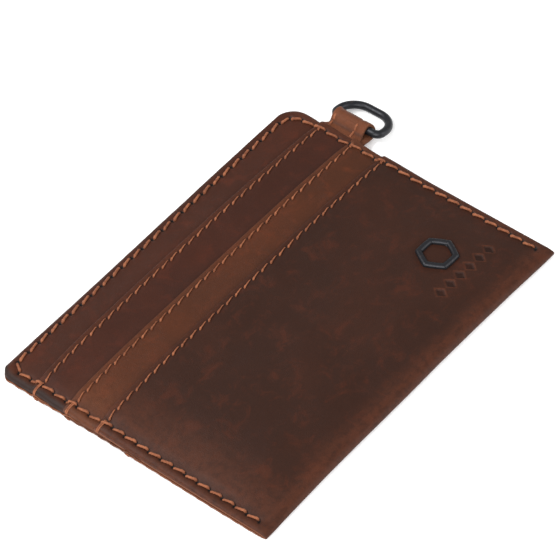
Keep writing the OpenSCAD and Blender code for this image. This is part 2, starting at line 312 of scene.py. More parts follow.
def sheet_piece(name, outer, inner, material, marks):
    """A closed sheet between two grids of points, with a rounded raw edge all round."""
    rows, cols = outer.shape[:2]
    border = [(0, c) for c in range(cols)] + [(r, cols - 1) for r in range(1, rows)]
    border += [(rows - 1, c) for c in range(cols - 2, -1, -1)] + [(r, 0) for r in range(rows - 2, 0, -1)]
    br = np.array([b[0] for b in border])
    bc = np.array([b[1] for b in border])
    ir, ic = np.clip(br, 1, rows - 2), np.clip(bc, 1, cols - 2)
    middle = (outer[br, bc] + inner[br, bc]) / 2
    away = middle - (outer[ir, ic] + inner[ir, ic]) / 2
    away /= np.maximum(np.linalg.norm(away, axis=1, keepdims=True), 1e-9)
    deep = np.linalg.norm(outer[br, bc] - inner[br, bc], axis=1, keepdims=True)
    upper = mix(outer[br, bc], inner[br, bc], 0.18) + away * deep * 0.10
    lower = mix(outer[br, bc], inner[br, bc], 0.82) + away * deep * 0.10
    middle = middle + away * deep * 0.14
    n, m = rows * cols, len(border)
    points = np.concatenate([outer.reshape(-1, 3), inner.reshape(-1, 3), upper, middle, lower])
    index = np.arange(n).reshape(rows, cols)
    a, b, c, d = index[:-1, :-1], index[:-1, 1:], index[1:, 1:], index[1:, :-1]
    top = np.stack([a, b, c, d], axis=-1).reshape(-1, 4)
    under = top[:, ::-1] + n
    edge_top = index[br, bc]
    rings = [edge_top, *(2 * n + i * m + np.arange(m) for i in range(3)), edge_top + n]
    sides = [np.stack([p, np.roll(p, -1), np.roll(q, -1), q], axis=-1) for p, q in zip(rings, rings[1:])]
    faces = np.concatenate([top, under, *sides])
    values = {}
    for key, grid in marks.items():
        full = np.zeros(len(points))
        full[:n] = grid.reshape(-1)
        full[2 * n :] = np.tile(grid[br, bc], 3)
        values[key] = full
    raw = np.zeros(len(points))
    raw[n : 2 * n] = 0.6
    raw[2 * n :] = 1.0
    values["raw"] = raw
    return new_object(name, points.tolist(), faces.tolist(), material, values)


def lines(low, high, step, fine=()):
    """Grid lines from low to high, closer together at both ends and within 1.1 mm of each fine place."""
    ends = np.array([0.0, 0.07, 0.18, 0.34, 0.56, 0.85])
    marks = [low + ends, high - ends, np.arange(low + 1.2, high - 1.2, step)]
    for place in fine:
        marks.append(np.arange(place - 1.1, place + 1.15, 0.22))
    every = np.unique(np.round(np.concatenate(marks), 3))
    every = every[(every >= low) & (every <= high)]
    keep = [every[0]]
    for value in every[1:-1]:
        if value - keep[-1] >= min(0.17, step) or value < low + 1 or value > high - 1:
            keep.append(value)
    return np.array(keep + [every[-1]])


def corner_cut(v, corner):
    """How far a rounded corner of the open edge cuts into the outline at v."""
    over = np.clip(v - (H - corner), 0, corner)
    return corner - np.sqrt(np.maximum(corner**2 - over**2, 0))


def left_limit(v, is_back=0.0):
    """The left outline; the back leaf stands out a little further than the front one."""
    stands_out = BACK_STANDS_OUT + BACK_PUCKER * np.sin(2 * math.pi * v / SEAM_PITCH)
    return corner_cut(v, CORNER_LEFT) - SPREAD_LEFT - stands_out * is_back


def right_limit(v):
    return W - corner_cut(v, CORNER_RIGHT) + 0.3 * smooth((v - 66) / 5)


def edge_distance(u, v, is_back=0.0):
    return np.minimum(u - left_limit(v, is_back), right_limit(v) - u)


def quarter_round(d, radius, depth):
    x = np.clip(1 - d / radius, 0, 1)
    return depth * (1 - np.sqrt(np.maximum(1 - x * x, 0)))


def edge_round(d):
    """The small rounding of a cut edge, at a distance from it."""
    return quarter_round(d, 0.5, 0.2)


def tab_zone(u, v):
    """1 where the ring's tab holds the margin up."""
    middle = (TAB_LOW[1] + TAB_HIGH[1]) / 2 + 0.7 - FOLD
    return smooth((6.9 - np.abs(v - middle)) / 2.0) * (u > W / 2)


def edge_roll(u, v, top_edge, is_back):
    """How far the leather rolls down near the side edges and the open edge."""
    d = edge_distance(u, v, is_back)
    if is_back:
        d = np.minimum(d, H - v) if top_edge else d
        return quarter_round(d, 1.05, 0.16)
    depth = (0.30 + 0.62 * smooth((v - 6) / 28)) * (1 - 0.8 * tab_zone(u, v))
    depth = np.where(u > W / 2, depth * (1 - 0.45 * smooth((v - 67) / 6)), depth)
    roll = quarter_round(d, 2.0, depth)
    if top_edge:
        roll = np.maximum(roll, quarter_round(H - v, 2.0, mix(1.40, 0.25, smooth(u / W))))
    return roll


def lip_roll(below):
    return quarter_round(below, 0.45, 0.24)


def relief(u, v, rows, grain_seed):
    pull, shaded_pit = seam_relief(u, v, PERIMETER, 0.20, 0.30, 1.0)
    for row in rows:
        p, q = seam_relief(u, v, row, 0.12, 0.16, 0.5)
        pull, shaded_pit = np.maximum(pull, p), np.maximum(shaded_pit, q)
    fine = 0.020 * soft_noise(u, v, 1.7, grain_seed) + 0.012 * soft_noise(u, v, 0.8, grain_seed + 1)
    return pull, shaded_pit, fine


PIT_DEPTH = 0.35
U_STEP = 0.4
U_LINES = lines(0, W, U_STEP, (SEAM_INSET, W - SEAM_INSET))


def with_marks(every, low, high, step):
    """Grid lines made closer between two places."""
    outside = every[(every < low - 0.1) | (every > high + 0.1)]
    return np.sort(np.concatenate([outside, np.arange(low, high + step / 2, step)]))


def spread_out(columns, back_share=0.0):
    """Columns from 0 to W stretched to the true side edges."""
    share = columns / W
    return columns - (SPREAD_LEFT + BACK_STANDS_OUT * back_share) * (1 - share)


def leaf_grid(v0, v1, step, fine, is_back):
    v_lines = lines(v0, v1, step, fine)
    v, s = np.meshgrid(v_lines, U_LINES / W, indexing="ij")
    return mix(left_limit(v, is_back), right_limit(v), s), v


def wear_and_sheen_marks(u, v, mouth, pull):
    """Where pull-up leather has gone lighter at mouths, along edges and the puffed seams, plus a painted
    sheen towards the left end.
    """
    side = np.minimum(u, W - u)
    at_mouth = np.exp(-((np.maximum(mouth - v, 0) / 1.1) ** 2)) if mouth else np.zeros_like(u)
    at_side = np.exp(-((side / 1.7) ** 2)) * 0.60
    # painted sheen: lighter towards the left end of the panels, fading towards the open edge
    painted_left_sheen = 0.52 * (1 - smooth((u - 1.5) / 16)) * smooth((66 - v) / 14) * smooth((u - 2) / 3)
    return np.clip(0.40 * at_mouth + at_side + 0.3 * pull + painted_left_sheen, 0, 1)


def burnish(u, v):
    """Edge dressing, darkest along the left side near the open edge."""
    d = u - left_limit(v)
    return 0.85 * (1 - smooth((d - 0.5) / 1.6)) * smooth((v - 56) / 4)


def strip_piece(name, k, is_back, material):
    mouths, feet = (BACK_MOUTHS, BACK_FEET) if is_back else (FRONT_MOUTHS, FRONT_FEET)
    height = back_height if is_back else front_height
    sign = -1 if is_back else 1
    mouth = H if k == 0 else mouths[k - 1]
    rows = (BACK_ROWS if is_back else FRONT_ROWS)[k - 1 : k] if k > 0 else []
    fine = (H - SEAM_INSET,) if k == 0 else (mouth - MOUTH_INSET,)
    u, v = leaf_grid(feet[k], mouth, 0.6 if is_back else 0.5, fine, is_back)
    mouth_here, behind = mouth, mouths[k]
    if not is_back:
        behind = front_mouth(k, u)
        if k > 0:
            mouth_here = front_mouth(k - 1, u)
            v = v + (mouth_here - mouth) * smooth((v - feet[k]) / (mouth - feet[k]))
    z = height(k, u, v)
    shown = smooth((v - behind) / 0.5)
    pull, shaded_pit, fine_grain = relief(u, v, rows, 20 + 3 * k + 40 * is_back)
    roll = edge_roll(u, v, k == 0, is_back)
    lip = lip_roll(mouth_here - v) if k > 0 else 0
    t = leather_t(u) * mix(0.45, 1.0, smooth((v - feet[k]) / 5))
    rounded = edge_round(edge_distance(u, v, is_back))
    if k == 0:
        rounded = np.maximum(rounded, edge_round(H - v))
    outer = z - sign * (shown * (pull + PIT_DEPTH * shaded_pit - fine_grain) + roll + lip + rounded)
    inner = z - sign * (t + roll)
    marks = {"shaded_pit": shaded_pit * shown, "wear_and_highlight": wear_and_sheen_marks(u, v, mouth if k > 0 else 0, pull), "dark": burnish(u, v)}
    return sheet_piece(name, world(u, v, outer), world(u, v, inner), material, marks)


# ---- materials


class Nodes:
    """A short way to write a node material."""

    def __init__(self, name):
        self.material = bpy.data.materials.new(name)
        self.material.use_nodes = True
        self.tree = self.material.node_tree
        self.shader = self.tree.nodes["Principled BSDF"]
        self.place = self.add("ShaderNodeTexCoord").outputs["Object"]

    def add(self, kind, **settings):
        node = self.tree.nodes.new(kind)
        for key, value in settings.items():
            setattr(node, key, value)
        return node

    def link(self, source, target):
        self.tree.links.new(source, target)

    def feed(self, socket, value):
        """Give a socket a number or a colour, or link another node's output to it."""
        if isinstance(value, tuple):
            socket.default_value = (*value, 1.0)
        elif isinstance(value, (int, float)):
            socket.default_value = value
        elif value is not None:
            self.link(value, socket)

    def shade(self, name, value):
        self.shader.inputs[name].default_value = value

    def noise(self, size_mm, detail=4.0, rough=0.55, stretch=None, distortion=0.0):
        node = self.add("ShaderNodeTexNoise")
        node.inputs["Scale"].default_value = 1.0 / (size_mm * MM)
        node.inputs["Detail"].default_value = detail
        node.inputs["Roughness"].default_value = rough
        node.inputs["Distortion"].default_value = distortion
        where = self.place
        if stretch:
            mapping = self.add("ShaderNodeMapping")
            mapping.inputs["Rotation"].default_value = (0, 0, math.radians(stretch[2]))
            mapping.inputs["Scale"].default_value = (stretch[0], stretch[1], 1)
            self.link(where, mapping.inputs["Vector"])
            where = mapping.outputs["Vector"]
        self.link(where, node.inputs["Vector"])
        return node.outputs["Fac"]

    def cell_edges(self, size_mm):
        node = self.add("ShaderNodeTexVoronoi", feature="DISTANCE_TO_EDGE")
        node.inputs["Scale"].default_value = 1.0 / (size_mm * MM)
        self.link(self.place, node.inputs["Vector"])
        return node.outputs["Distance"]

    def attribute(self, name):
        return self.add("ShaderNodeAttribute", attribute_name=name).outputs["Fac"]

    def math(self, operation, a, b=None):
        node = self.add("ShaderNodeMath", operation=operation)
        for socket, value in zip(node.inputs, (a, b)):
            self.feed(socket, value)
        return node.outputs["Value"]

    def ranged(self, value, low, high, to_low=0.0, to_high=1.0):
        node = self.add("ShaderNodeMapRange", interpolation_type="SMOOTHSTEP")
        self.link(value, node.inputs["Value"])
        for key, number in (("From Min", low), ("From Max", high), ("To Min", to_low), ("To Max", to_high)):
            node.inputs[key].default_value = number
        return node.outputs["Result"]

    def blend(self, a, b, factor):
        node = self.add("ShaderNodeMix", data_type="RGBA")
        for key, value in (("A", a), ("B", b), ("Factor", factor)):
            self.feed(node.inputs[key], value)
        return node.outputs["Result"]

    def colour(self, value):
        self.link(value, self.shader.inputs["Base Color"])

    def rough(self, value):
        self.link(value, self.shader.inputs["Roughness"])

    def bump(self, height, distance_mm, strength=1.0, after=None):
        node = self.add("ShaderNodeBump")
        node.inputs["Strength"].default_value = strength
        node.inputs["Distance"].default_value = distance_mm * MM
        self.link(height, node.inputs["Height"])
        if after is not None:
            self.link(after, node.inputs["Normal"])
        self.link(node.outputs["Normal"], self.shader.inputs["Normal"])
        return node.outputs["Normal"]


def leather(name, mean, light, raw, patch=1.0, pebble=0.5, gloss=0.50):
    """Oiled pull-up leather: cloudy dark and warm patches, scuffs, pebble grain, lighter where bent; the mesh
    attributes also add painted sheen, highlights and shade.
    """
    n = Nodes(name)
    dark = (mean[0] * 0.80, mean[1] * 0.84, mean[2] * 0.88)
    warm = (mean[0] * 1.42, mean[1] * 1.22, mean[2] * 1.12)
    clouds = n.ranged(n.noise(21, 4, 0.55, distortion=0.4), 0.40, 0.66)
    patches = n.ranged(n.noise(4.6, 7, 0.66, distortion=0.6), 0.48, 0.74)
    base = n.blend(dark, mean, n.math("MULTIPLY", clouds, 0.9))
    base = n.blend(base, warm, n.math("MULTIPLY", patches, 0.75 * patch))
    scuff = n.ranged(n.noise(2.2, 6, 0.7, stretch=(1, 5.5, 33), distortion=0.8), 0.62, 0.74)
    cross_scuff = n.ranged(n.noise(3.0, 6, 0.7, stretch=(6, 1, 18), distortion=0.5), 0.63, 0.76)
    base = n.blend(base, light, n.math("MULTIPLY", n.math("MAXIMUM", scuff, cross_scuff), 0.16 * patch))
    # real wear together with a painted sheen and painted highlights, all lightening towards the light colour
    wear_and_highlight = n.attribute("wear_and_highlight")
    ragged = n.math("MULTIPLY", wear_and_highlight, n.ranged(n.noise(1.6, 6, 0.65), 0.28, 0.62, 0.35, 1.25))
    base = n.blend(base, light, n.math("MINIMUM", ragged, 1.0))
    tone = n.ranged(n.noise(0.45, 3, 0.6), 0.3, 0.7, 0.86, 1.0)
    base = n.blend((0.0, 0.0, 0.0), base, tone)
    # dark attribute: edge dressing on the strips, and painted shade in the tab's crease
    base = n.blend(base, (0.012, 0.007, 0.006), n.attribute("dark"))
    base = n.blend(base, raw, n.attribute("raw"))
    # painted shade: near-black in the needle holes and the debossed marks
    base = n.blend(base, (0.004, 0.002, 0.0015), n.ranged(n.attribute("shaded_pit"), 0.12, 0.62))
    n.colour(base)
    shine = n.ranged(n.noise(6, 5, 0.6), 0.3, 0.7, gloss - 0.01, gloss + 0.06)
    n.rough(n.math("ADD", shine, n.math("MULTIPLY", n.attribute("raw"), 0.25)))
    n.shade("Specular IOR Level", 0.185)
    n.shade("Sheen Weight", 0.02)
    n.shade("Sheen Roughness", 0.5)
    grain = n.ranged(n.cell_edges(0.42), 0.0, 0.16)
    patchy = n.ranged(n.noise(9, 3, 0.5), 0.35, 0.6, 0.25, 1.0)
    pebbles = n.bump(n.math("MULTIPLY", grain, patchy), 0.035 * pebble, 1.0)
    creases = n.bump(n.noise(1.1, 6, 0.62, distortion=0.7), 0.06, 0.8, pebbles)
    n.bump(n.noise(0.16, 3, 0.6), 0.018, 0.8, creases)
    return n.material


def thread_material():
    n = Nodes("waxed_thread")
    fuzz = n.noise(0.12, 3, 0.6)
    fray = n.noise(1.3, 3, 0.5)
    streaks = n.math("ADD", n.math("MULTIPLY", fuzz, 0.5), n.math("MULTIPLY", fray, 0.5))
    n.colour(n.blend((0.150, 0.045, 0.0175), (0.300, 0.102, 0.0440), n.ranged(streaks, 0.38, 0.62)))
    n.rough(n.ranged(fuzz, 0.3, 0.7, 0.5, 0.75))
    n.shade("Specular IOR Level", 0.25)
    n.shade("Sheen Weight", 0.04)
    n.bump(fuzz, 0.03, 0.8)
    return n.material


def black_metal_material():
    n = Nodes("gunmetal")
    wornness = n.ranged(n.noise(1.7, 6, 0.68, distortion=0.5), 0.60, 0.72)
    n.colour(n.blend((0.016, 0.0165, 0.020), (0.085, 0.055, 0.045), n.math("MULTIPLY", wornness, 0.7)))
    n.shade("Metallic", 0.55)
    n.rough(n.ranged(n.noise(0.7, 5, 0.6), 0.3, 0.7, 0.30, 0.46))
    n.bump(n.noise(0.35, 4, 0.6), 0.012, 0.7)
    return n.material


def steel_material():
    n = Nodes("washer_steel")
    n.colour(n.blend((0.36, 0.36, 0.37), (0.5, 0.5, 0.5), n.noise(0.6, 4, 0.6, stretch=(1, 9, 0))))
    n.shade("Metallic", 1.0)
    n.rough(n.ranged(n.noise(0.4, 3), 0.3, 0.7, 0.3, 0.5))
    return n.material


def lining_material():
    n = Nodes("twill_lining")
    weave = n.add("ShaderNodeTexWave", wave_type="BANDS", bands_direction="DIAGONAL")
    weave.inputs["Scale"].default_value = 1.0 / (1.6 * MM)
    weave.inputs["Distortion"].default_value = 0.6
    n.link(n.place, weave.inputs["Vector"])
    rib = weave.outputs["Fac"]
    ribbed = n.blend((0.045, 0.028, 0.021), (0.11, 0.072, 0.055), rib)
    n.colour(n.blend(ribbed, (0.07, 0.045, 0.034), n.noise(2.5, 4)))
    n.rough(n.ranged(n.noise(1.1, 3), 0.3, 0.7, 0.8, 0.95))
    n.bump(rib, 0.06, 0.8)
    return n.material


BASE = leather("leather_base", (0.0506, 0.0118, 0.0041), (0.088, 0.026, 0.0100), (0.026, 0.009, 0.005))
UPPER = leather("leather_upper", (0.0445, 0.0108, 0.0045), (0.082, 0.024, 0.0095), (0.034, 0.012, 0.007))
MIDDLE = leather(
    "leather_middle", (0.0675, 0.0179, 0.0056), (0.108, 0.033, 0.0125), (0.100, 0.034, 0.015), 1.0, 0.9
)
WRAP = leather("leather_wrap", (0.0312, 0.0084, 0.0031), (0.078, 0.021, 0.0080), (0.150, 0.050, 0.022), 1.7)
BACK = leather("leather_back", (0.0480, 0.0116, 0.0043), (0.085, 0.025, 0.0100), (0.190, 0.064, 0.027))
TAB = leather(
    "leather_tab", (0.130, 0.0380, 0.0140), (0.180, 0.058, 0.0250), (0.105, 0.038, 0.0170), 0.8, 1.0
)
THREAD = thread_material()
BLACK = black_metal_material()
STEEL = steel_material()
LINING = lining_material()


# ---- leather pieces


BADGE_U = (BADGE_LOW[0] + BADGE_HIGH[0]) / 2 - LEFT
BADGE_V = (BADGE_LOW[1] + BADGE_HIGH[1]) / 2 - FOLD
BADGE_R = (BADGE_HIGH[0] - BADGE_LOW[0]) / 2
MARK_COUNT, MARK_PITCH = 6, 3.5
MARK_V = BADGE_V - 7.9
MARK_HALF_U, MARK_HALF_V = 1.15, 1.45
MARK_DEPTH = 0.34


def mark_relief(u, v):
    """The debossed lozenges, and the slightly raised lip that the die leaves round each."""
    deep, rim = np.zeros_like(u), np.zeros_like(u)
    for i in range(MARK_COUNT):
        cu = BADGE_U + (i - (MARK_COUNT - 1) / 2) * MARK_PITCH
        far = np.abs(u - cu) / MARK_HALF_U + np.abs(v - MARK_V) / MARK_HALF_V
        deep = np.maximum(deep, smooth((1.15 - far) / 0.34))
        rim = np.maximum(rim, np.exp(-(((far - 1.26) / 0.17) ** 2)))
    return deep, rim


FRONT_STEP, BACK_STEP, COLUMN_STEP = 0.54, 0.9, 0.5
MARK_STEP, MARK_COLUMN_STEP = 0.24, 0.27
NOSE_ANGLES = 15


def wrap_piece():
    """Front panel, round fold and back panel, as one sheet."""
    mouth_f, mouth_b = FRONT_MOUTHS[2], BACK_MOUTHS[2]
    front_lines = lines(NOSE, mouth_f, FRONT_STEP, (mouth_f - MOUTH_INSET,))
    front_lines = with_marks(front_lines, MARK_V - 2.2, MARK_V + 2.2, MARK_STEP)[::-1]
    mark_reach = (MARK_COUNT - 1) / 2 * MARK_PITCH + 1.8
    columns = lines(0, W, COLUMN_STEP, (SEAM_INSET, W - SEAM_INSET))
    columns = with_marks(columns, BADGE_U - mark_reach, BADGE_U + mark_reach, MARK_COLUMN_STEP)
    back_lines = lines(NOSE, mouth_b, BACK_STEP, (mouth_b - MOUTH_INSET,))
    turn = np.linspace(90, -90, NOSE_ANGLES)

    def block(v_lines, is_back):
        v_lines = v_lines[v_lines > NOSE + 0.3]
        v, u = np.meshgrid(v_lines, spread_out(columns, is_back), indexing="ij")
        return u, v

    parts_outer, parts_inner, shaded_pits, wear_and_highlight_parts = [], [], [], []
    u, v = block(front_lines, False)
    z = front_height(3, u, v)
    pull, shaded_pit, fine = relief(u, v, FRONT_ROWS[2:], 31)
    marks, rims = mark_relief(u, v)
    seat = smooth((BADGE_R + 1.1 - np.hypot(u - BADGE_U, v - BADGE_V)) / 1.2) * 0.12
    roll = edge_roll(u, v, False, False)
    shape = lip_roll(mouth_f - v) + edge_round(edge_distance(u, v))
    outer = z - pull - PIT_DEPTH * shaded_pit + fine - roll - shape - MARK_DEPTH * marks + 0.08 * rims - seat
    inner = z - leather_t(u) - roll
    parts_outer.append(world(u, v, outer))
    parts_inner.append(world(u, v, inner))
    # painted shade inside the debossed marks, joined to the needle holes' painted shade
    shaded_pits.append(np.maximum(shaded_pit, MARK_DEPTH * marks))
    fold_band = smooth((6.0 + 1.0 * soft_noise(u, v, 7, 61) - v) / 5.5) * 0.48
    # lighter along the fold band and at worn places, with a painted highlight on the rims round the debossed
    # marks
    wear_and_highlight_parts.append(np.maximum(np.maximum(wear_and_sheen_marks(u, v, mouth_f, pull), fold_band), 0.75 * rims))

    angle, u = np.meshgrid(np.radians(turn), columns, indexing="ij")
    share = (1 - np.sin(angle)) / 2
    u = spread_out(u, share)
    at_nose = np.full_like(u, NOSE)
    top = front_height(3, u, at_nose) - edge_roll(u, at_nose, False, False)
    low = back_height(3, u, at_nose) + edge_roll(u, at_nose, False, True)
    centre, half = (top + low) / 2, (top - low) / 2
    t = np.minimum(leather_t(u) * 1.05, half - 0.06)
    wave = 0.12 * soft_noise(u, angle * 2, 9, 71)
    roll = edge_round(edge_distance(u, at_nose, share))
    ears = NOSE_EARS * ((1 - smooth(u / 24)) + (1 - smooth((W - u) / 30)))
    nose = NOSE + FOLD_OUT + wave * 0.5 + ears
    outer = world(u, NOSE - (nose - roll) * np.cos(angle), centre + (half - roll) * np.sin(angle))
    inner = world(u, NOSE - (nose - t) * np.cos(angle), centre + (half - t) * np.sin(angle))
    parts_outer.append(outer)
    parts_inner.append(inner)
    shaded_pits.append(np.zeros_like(u))
    wear_and_highlight_parts.append(np.full_like(u, 0.46))

    u, v = block(back_lines, True)
    z = back_height(3, u, v)
    pull, shaded_pit, fine = relief(u, v, BACK_ROWS[2:], 51)
    roll = edge_roll(u, v, False, True)
    shape = lip_roll(mouth_b - v) + edge_round(edge_distance(u, v, True))
    parts_outer.append(world(u, v, z + pull + PIT_DEPTH * shaded_pit - fine + roll + shape))
    parts_inner.append(world(u, v, z + leather_t(u) + roll))
    shaded_pits.append(shaded_pit)
    fold_band = smooth((5.0 + 1.2 * soft_noise(u, v, 7, 81) - v) / 3.6) * 0.34
    wear_and_highlight_parts.append(np.maximum(wear_and_sheen_marks(u, v, mouth_b, pull), fold_band))

    marks = {"shaded_pit": np.concatenate(shaded_pits), "wear_and_highlight": np.concatenate(wear_and_highlight_parts)}
    marks["dark"] = np.zeros_like(marks["shaded_pit"])
    return sheet_piece("wrap_leather", np.concatenate(parts_outer), np.concatenate(parts_inner), WRAP, marks)


def put(piece, body, slot, *nodes):
    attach(piece, body)
    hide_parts(*nodes)


put(wrap_piece(), "wallet", "leather_dark", "outer_wrap")
put(strip_piece("base_panel_front", 0, False, BASE), "wallet", "leather_brown", "front_base_panel")
put(strip_piece("upper_pocket_front", 1, False, UPPER), "wallet", "leather_brown", "front_upper_pocket")
put(strip_piece("middle_pocket_front", 2, False, MIDDLE), "wallet", "leather_tan", "front_middle_pocket")
put(strip_piece("base_panel_back", 0, True, BACK), "wallet", "leather_brown", "back_base_panel")
put(strip_piece("upper_pocket_back", 1, True, BACK), "wallet", "leather_brown", "back_upper_pocket")
put(strip_piece("middle_pocket_back", 2, True, MIDDLE), "wallet", "leather_tan", "back_middle_pocket")


# ---- lining and tails


def gap_between(u, v):
    """Heights of the hollow between the innermost faces of the two leaves."""
    t = leather_t(u)
    roof = front_height(3, u, np.minimum(v, FRONT_MOUTHS[2])) - 1.1 * t
    for k in (2, 1, 0):
        here = front_height(k, u, v) - t
        roof = np.where(v > FRONT_FEET[k], np.minimum(roof, here), roof)
    floor = back_height(3, u, np.minimum(v, BACK_MOUTHS[2])) + 1.1 * t
    for k in (2, 1, 0):
        here = back_height(k, u, v) + t
        floor = np.where(v > BACK_FEET[k], np.maximum(floor, here), floor)
    return floor, roof


def fabric_piece(name, v0, v1, share):
    v, s = np.meshgrid(np.linspace(v0, v1, int((v1 - v0) / 1.2) + 2), np.linspace(0, 1, 86), indexing="ij")
    u = mix(SEAM_INSET + 0.4, W - SEAM_INSET - 0.4, s)
    floor, roof = gap_between(u, v)
    z = mix(floor, np.maximum(roof, floor + 0.02), share)
    thick = np.minimum(FABRIC, np.maximum(roof - floor, 0.02) / 8)
    return sheet_piece(name, world(u, v, z + thick / 2), world(u, v, z - thick / 2), LINING, {})


FABRICS = (
    ("front_lining", 0.62),
    ("front_upper_tail", 0.76),
    ("front_middle_tail", 0.90),
    ("back_lining", 0.38),
    ("back_upper_tail", 0.24),
    ("back_middle_tail", 0.10),
)
for node, share in FABRICS:
    low, high = box_mm(node)
    put(fabric_piece(node + "_cloth", low[1] - FOLD, high[1] - FOLD, share), "wallet", "lining", node)


# ---- threads


def faces_between(rings, sides, closed=False):
    """Quads from each ring of points to the next, and from the last to the first if closed."""
    faces = []
    for i in range(rings if closed else rings - 1):
        n = (i + 1) % rings
        for j in range(sides):
            k = (j + 1) % sides
            faces.append((i * sides + j, i * sides + k, n * sides + k, n * sides + j))
    return faces


def tube(path, radii, sides=10, twist=0.0, lobes=3, lobe=0.10):
    """Points and faces of a closed tube along a path, in mm. Its twisted lobes are the thread's plies."""
    path = np.asarray(path, dtype=float)
    tangent = np.gradient(path, axis=0)
    tangent /= np.linalg.norm(tangent, axis=1, keepdims=True)
    up = np.array([0.0, 0.0, 1.0])
    points, travelled = [], 0.0
    side = None
    for i, (p, d) in enumerate(zip(path, tangent)):
        if side is None:
            side = np.cross(d, up)
            if np.linalg.norm(side) < 0.2:
                side = np.cross(d, [1.0, 0.0, 0.0]) if abs(d[0]) < 0.9 else np.cross(d, [0.0, 1.0, 0.0])
        side = side - d * side.dot(d)
        side /= np.linalg.norm(side)
        other = np.cross(d, side)
        if i:
            travelled += np.linalg.norm(path[i] - path[i - 1])
        a = np.linspace(0, 2 * math.pi, sides, endpoint=False)
        r = radii[i] * (1 + lobe * np.cos(lobes * (a + twist * travelled)))
        points.append(p + np.outer(np.cos(a) * r, side) + np.outer(np.sin(a) * r, other))
    rings = len(path)
    points = np.concatenate(points + [path[:1], path[-1:]])
    faces = faces_between(rings, sides)
    first, last = rings * sides, rings * sides + 1
    for j in range(sides):
        k = (j + 1) % sides
        faces.append((first, k, j))
        faces.append((last, (rings - 1) * sides + j, (rings - 1) * sides + k))
    return points, faces


def joined_piece(name, parts, material):
    """One object out of several closed meshes, each given as points (u, v, z) and faces."""
    points, faces, start = [], [], 0
    for p, f in parts:
        points.append(p)
        faces += [tuple(i + start for i in face) for face in f]
        start += len(p)
    return new_object(name, world(*np.concatenate(points).T).tolist(), faces, material)


PLY_TWIST = 2.6


def stitch(start, end, height, out, radius, slant, jitter, taper=0.0):
    """One stitch from needle hole to needle hole, on the face whose height is given."""
    (u0, v0), (u1, v1) = start, end
    du, dv = u1 - u0, v1 - v0
    length = math.hypot(du, dv)
    nu, nv = -dv / length, du / length
    steps = np.linspace(0, 1, 15)
    rise = np.clip(steps / 0.16, 0, 1)
    fall = np.clip((1 - steps) / mix(0.16, 0.34, taper), 0, 1)
    arch = np.sqrt(1 - (1 - rise) ** 2) * np.sqrt(1 - (1 - fall) ** 2)
    side = slant * (steps * 2 - 1) + jitter * 0.05 * np.sin(math.pi * steps)
    reach = mix(mix(0.15, 0.04, taper), mix(0.79, 0.98, taper), steps)
    u = u0 + du * reach + nu * side
    v = v0 + dv * reach + nv * side
    base = height(u, v)
    lie = mix(-0.52, 0.13 - 0.06 * taper * steps, arch)
    z = base + out * lie
    bulb = 1 + 0.50 * taper * np.exp(-(((steps - 0.10) / 0.12) ** 2))
    radii = radius * mix(0.70, 1.0, arch) * (1 - 0.42 * taper * steps) * bulb * (1 + 0.05 * jitter)
    return tube(np.stack([u, v, z], axis=1), radii, twist=PLY_TWIST)


def visible(u, v, is_back):
    """The outer face that shows: of the layers whose mouth is further on, the topmost."""
    height, mouths = (back_height, BACK_MOUTHS) if is_back else (front_height, FRONT_MOUTHS)
    z = height(0, u, v)
    for k in (1, 2, 3):
        z = np.where(v <= mouths[k - 1], height(k, u, v), z)
    return z


def row_of_stitches(row, is_back, radius, slant, taper, seed, sunk):
    dice = np.random.RandomState(seed)
    out = -1 if is_back else 1

    def height(u, v):
        return visible(u, v, is_back) - out * sunk

    tubes = []
    for start, end in zip(row, row[1:]):
        jitter = dice.uniform(-1, 1)
        tubes.append(stitch(start, end, height, out, radius, slant, jitter, taper))
    return tubes


def edge_wrap(mouth_v, is_left, is_back, seed):
    """The bar tack at the end of a mouth seam: thread carried over the leaf's raw edge."""
    dice = np.random.RandomState(seed)
    out = -1 if is_back else 1
    u_in = SEAM_INSET + 0.8
    if is_left:
        edge = SPREAD_LEFT + BACK_STANDS_OUT * is_back
        over_edge = np.array([0.10, -0.05, -0.12, -0.10, -0.04]) - edge
        u = np.concatenate([np.linspace(u_in, 0.40 - edge, 8), over_edge])
    else:
        u = W - np.linspace(u_in, 1.15, 13)
    drop = np.concatenate([np.zeros(8), [0.10, 0.32, 0.60, 0.82, 0.95]]) * (1.0 if is_left else 0.6)
    lie = np.concatenate([[-0.45, -0.05], np.full(6, 0.02), np.zeros(5)])
    made = []
    for shift in (0.0, 0.42):
        v = mouth_v + shift * 0.8 + dice.uniform(-0.08, 0.08) + np.linspace(0, 0.25, len(u))
        top = visible(np.clip(u, 0.4, W - 0.4), v, is_back)
        roll = edge_roll(np.clip(u, 0.05, W - 0.05), v, False, is_back)
        z = top + out * (lie - roll - drop)
        made.append(tube(np.stack([u, v, z], axis=1), np.full(len(u), 0.17), twist=PLY_TWIST))
    return made


def seam_piece(name, node, tubes):
    put(joined_piece(name, tubes, THREAD), "wallet", "thread", node)


